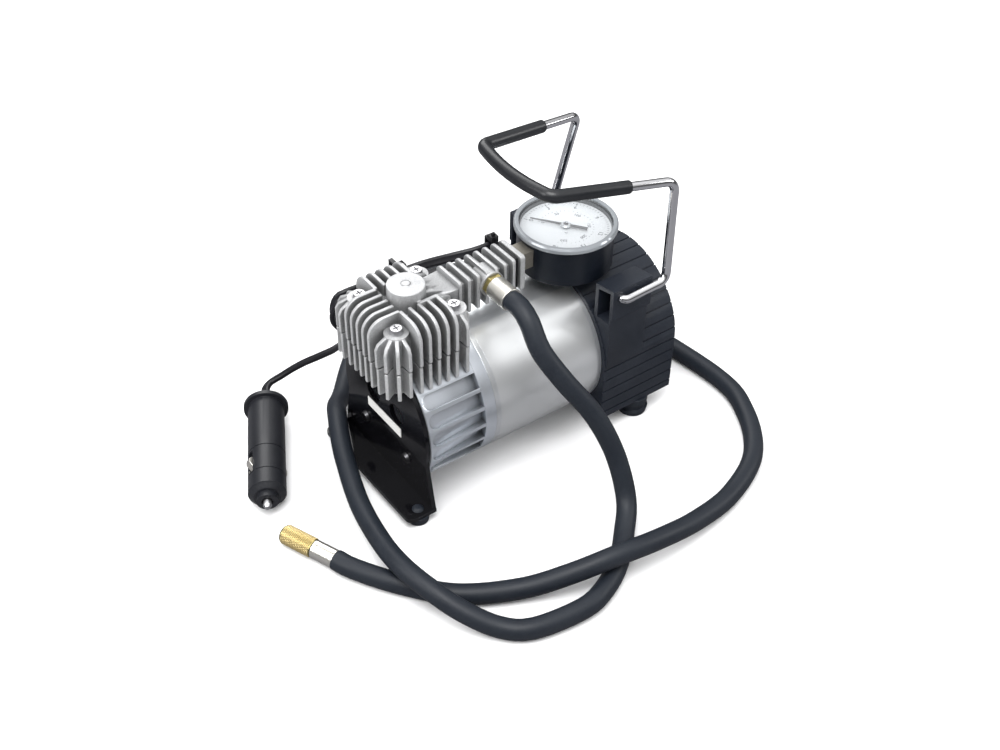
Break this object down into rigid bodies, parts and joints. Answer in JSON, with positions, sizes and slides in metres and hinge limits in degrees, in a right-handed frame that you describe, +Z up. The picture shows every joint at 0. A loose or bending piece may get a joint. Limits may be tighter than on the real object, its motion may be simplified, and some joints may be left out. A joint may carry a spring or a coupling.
{
  "type": "portable tire inflator",
  "caption": "Direct-drive 12 V tyre inflator: finned piston pump on a round motor, top pressure gauge, folding handle, air hose and car plug lead.",
  "frame": {"origin": "on the ground under the middle of the machine, without its hose and lead", "axes": "+X from the pump end to the switch end along the motor, -Y is the side the hose leaves, +Z up"},
  "size_m": [0.281, 0.283, 0.1691],
  "materials": {
    "cylinder_head": "cast, light grey",
    "head_screws": "zinc plated",
    "head_gasket": "fibre gasket",
    "valve_plate": "ground",
    "reed_valves": "spring steel",
    "cylinder_block": "cast, light grey",
    "cylinder_liner": "honed bore",
    "piston": "machined",
    "piston_ring": "filled PTFE",
    "wrist_pin": "ground",
    "connecting_rod": "cast",
    "crank_pin": "ground",
    "crank_web": "sintered",
    "motor_bearings": "ground",
    "pump_housing": "die-cast",
    "front_bracket": "glossy black",
    "bracket_screws": "zinc plated",
    "front_feet": "matt",
    "blank_plate": "thin bare film",
    "clamp_ring": "turned",
    "motor_can": "silver lacquer",
    "magnets": "ferrite",
    "armature_core": "stacked sheet steel",
    "armature_windings": "enamelled copper",
    "commutator": "copper bars",
    "motor_shaft": "ground",
    "brushes": "carbon",
    "brush_holder": "phenolic",
    "rear_bell": "die-cast",
    "cooling_fan": "moulded",
    "end_cap": "satin black",
    "cap_screws": "zinc plated",
    "rear_feet": "matt",
    "switch_frame": "black",
    "switch_rocker": "red",
    "handle_wire": "bright chromed wire",
    "handle_grip": "soft black sleeve",
    "gauge_stem": "dull plated",
    "gauge_case": "black",
    "gauge_bezel": "bright",
    "gauge_lens": "clear",
    "gauge_dial": "white",
    "gauge_needle": "black",
    "gauge_sector": "bright",
    "gauge_movement": "bright",
    "bourdon_tube": "bright",
    "outlet_fitting": "bright",
    "hose_ferrule_in": "bright crimp",
    "air_hose": "matt black",
    "hose_ferrule_out": "bright crimp",
    "hose_chuck": "knurled",
    "zip_ties": "nylon",
    "lead_gland": "matt",
    "lead_entry": "black PVC",
    "lead_coil": "black PVC",
    "lead_run": "black PVC",
    "plug_body": "glossy black",
    "plug_tip": "plated",
    "plug_contact_left": "spring steel",
    "plug_contact_right": "spring steel"
  },
  "bodies": {
    "machine": {"cylinder_head": "cylinder_head", "head_screws": "head_screws", "head_gasket": "head_gasket", "valve_plate": "valve_plate", "reed_valves": "reed_valves", "cylinder_block": "cylinder_block", "cylinder_liner": "cylinder_liner", "motor_bearings": "motor_bearings", "pump_housing": "pump_housing", "front_bracket": "front_bracket", "bracket_screws": "bracket_screws", "front_feet": "front_feet", "blank_plate": "blank_plate", "clamp_ring": "clamp_ring", "motor_can": "motor_can", "magnets": "magnets", "brushes": "brushes", "brush_holder": "brush_holder", "rear_bell": "rear_bell", "end_cap": "end_cap", "cap_screws": "cap_screws", "rear_feet": "rear_feet", "switch_frame": "switch_frame", "gauge_stem": "gauge_stem", "gauge_case": "gauge_case", "gauge_bezel": "gauge_bezel", "gauge_lens": "gauge_lens", "gauge_dial": "gauge_dial", "gauge_movement": "gauge_movement", "bourdon_tube": "bourdon_tube", "outlet_fitting": "outlet_fitting", "hose_ferrule_in": "hose_ferrule_in", "air_hose": "air_hose", "hose_ferrule_out": "hose_ferrule_out", "zip_ties": "zip_ties", "lead_gland": "lead_gland", "lead_entry": "lead_entry", "lead_coil": "lead_coil", "lead_run": "lead_run", "plug_body": "plug_body"},
    "rotor": {"crank_web": "crank_web", "armature_core": "armature_core", "armature_windings": "armature_windings", "commutator": "commutator", "motor_shaft": "motor_shaft", "cooling_fan": "cooling_fan"},
    "piston": {"piston": "piston", "piston_ring": "piston_ring", "wrist_pin": "wrist_pin"},
    "rod": {"connecting_rod": "connecting_rod", "crank_pin": "crank_pin"},
    "handle": {"handle_wire": "handle_wire", "handle_grip": "handle_grip"},
    "needle": {"gauge_needle": "gauge_needle"},
    "sector": {"gauge_sector": "gauge_sector"},
    "rocker": {"switch_rocker": "switch_rocker"},
    "chuck": {"hose_chuck": "hose_chuck"},
    "tip": {"plug_tip": "plug_tip"},
    "contact_left": {"plug_contact_left": "plug_contact_left"},
    "contact_right": {"plug_contact_right": "plug_contact_right"}
  },
  "joints": [
    {"name": "rotor_spin", "type": "hinge", "parent": "machine", "child": "rotor", "pos_m": [0, 0, 0.0475], "axis": [1, 0, 0], "continuous": true},
    {"name": "piston_slide", "type": "slide", "parent": "machine", "child": "piston", "axis": [0, 0, 1], "range_m": [-0.016, 0]},
    {"name": "rod_swing", "type": "hinge", "parent": "piston", "child": "rod", "pos_m": [-0.0604, 0, 0.0856], "axis": [1, 0, 0], "range_deg": [-15.5, 15.5]},
    {"name": "needle_turn", "type": "hinge", "parent": "machine", "child": "needle", "pos_m": [0.04179, 0, 0.0974], "axis": [0, 0, -1], "range_deg": [0, 270]},
    {"name": "sector_turn", "type": "hinge", "parent": "machine", "child": "sector", "pos_m": [0.05579, 0, 0.0974], "axis": [0, 0, 1], "range_deg": [0, 60.2]},
    {"name": "handle_swing", "type": "hinge", "parent": "machine", "child": "handle", "pos_m": [0.0442, 0, 0.0975], "axis": [0, 1, 0], "range_deg": [-37, 62]},
    {"name": "rocker_turn", "type": "hinge", "parent": "machine", "child": "rocker", "pos_m": [0.0816, 0, 0.034], "axis": [0, 0, 1], "range_deg": [0, 16]},
    {"name": "chuck_spin", "type": "hinge", "parent": "machine", "child": "chuck", "pos_m": [-0.1354, -0.0426, 0.0055], "axis": [-0.3746, 0.9272, 0], "continuous": true},
    {"name": "tip_press", "type": "slide", "parent": "machine", "child": "tip", "axis": [0.4723, 0.8808, 0.0354], "range_m": [0, 0.0025], "stiffness_N_per_m": 2400, "springref_m": -0.001},
    {"name": "contact_left_press", "type": "slide", "parent": "machine", "child": "contact_left", "axis": [-0.7315, 0.3692, 0.5732], "range_m": [0, 0.0013], "stiffness_N_per_m": 2500, "springref_m": -0.001},
    {"name": "contact_right_press", "type": "slide", "parent": "machine", "child": "contact_right", "axis": [0.7315, -0.3692, -0.5732], "range_m": [0, 0.0013], "stiffness_N_per_m": 2500, "springref_m": -0.001}
  ],
  "couplings": [
    {"joint": "sector_turn", "follows": "needle_turn", "ratio": 0.22271}
  ]
}
